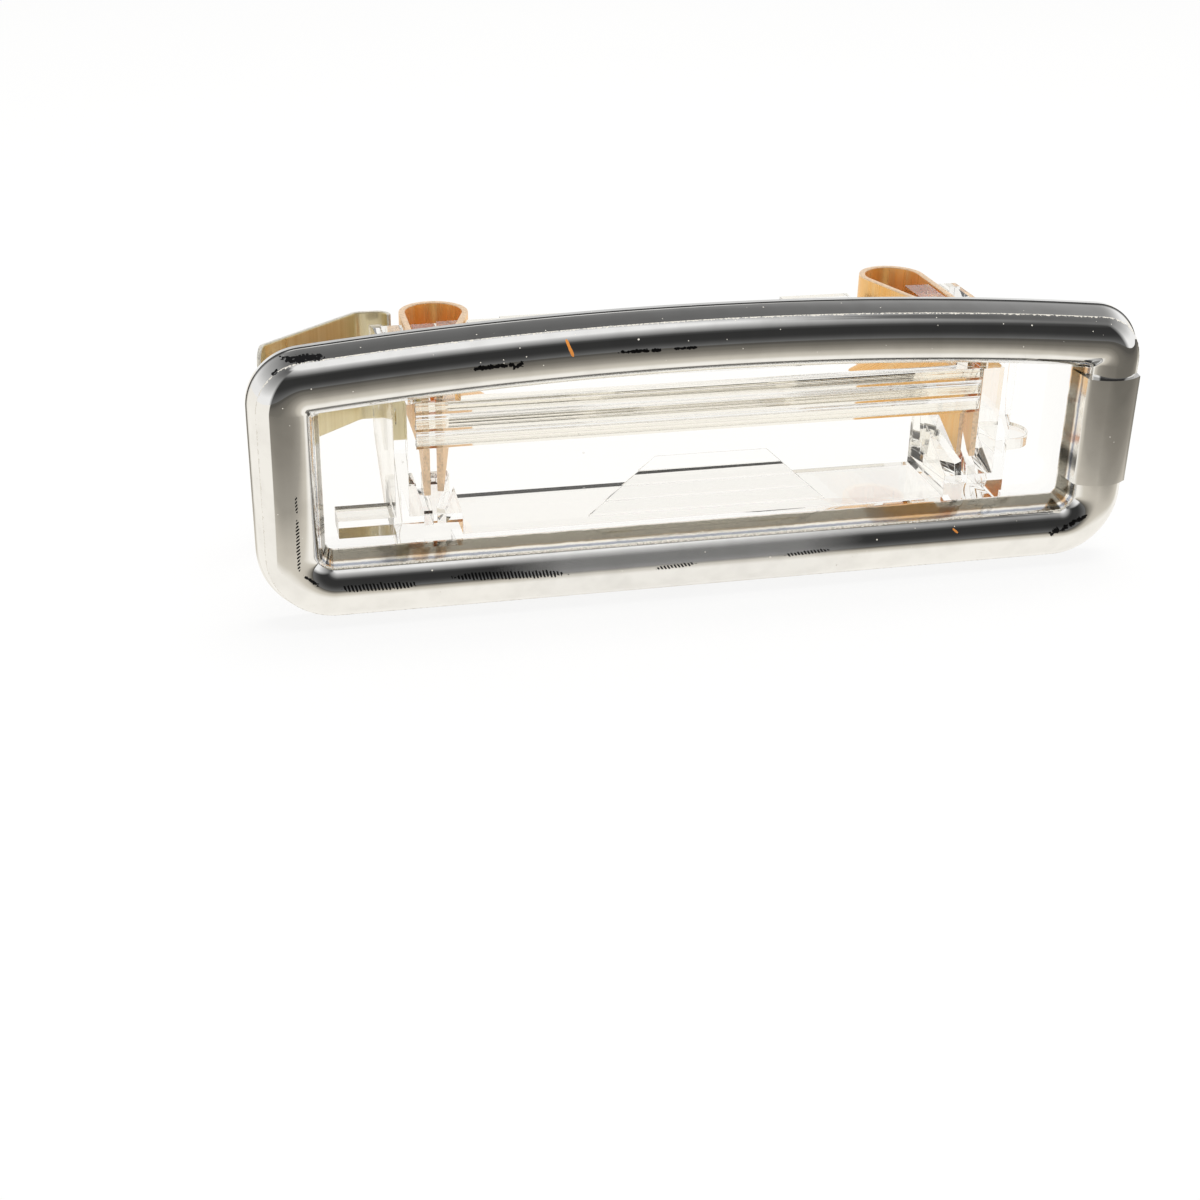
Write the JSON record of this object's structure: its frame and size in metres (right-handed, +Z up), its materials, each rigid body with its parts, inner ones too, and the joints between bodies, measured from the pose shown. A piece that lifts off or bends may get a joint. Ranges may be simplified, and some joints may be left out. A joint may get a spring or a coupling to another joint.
{
  "type": "number plate lamp",
  "caption": "Number plate lamp: a bright arched bezel around a clear box that holds a tubular bulb between looped contacts, with a tongue and a spring clip to fix it in a panel.",
  "frame": {"origin": "middle of the seat, the flat back of the bezel, at half the bezel's length and half its height at the straight ends", "axes": "+X along the lamp towards the locating tongue, +Y into the panel, +Z up towards the arched edge"},
  "size_m": [0.07, 0.0216, 0.0228],
  "materials": {
    "bright_plating": "mirror bright, moulded plastic plated all over",
    "clear_plastic": "clear and glossy, straight from the mould",
    "copper_strip": "bright rolled copper alloy",
    "clip_strip": "dull yellow passivated spring strip, brushed"
  },
  "bodies": {
    "root": {"bezel": "bright_plating", "lens_housing": "clear_plastic", "left_contact": "copper_strip", "right_contact": "copper_strip", "spring_clip": "clip_strip"}
  },
  "joints": []
}
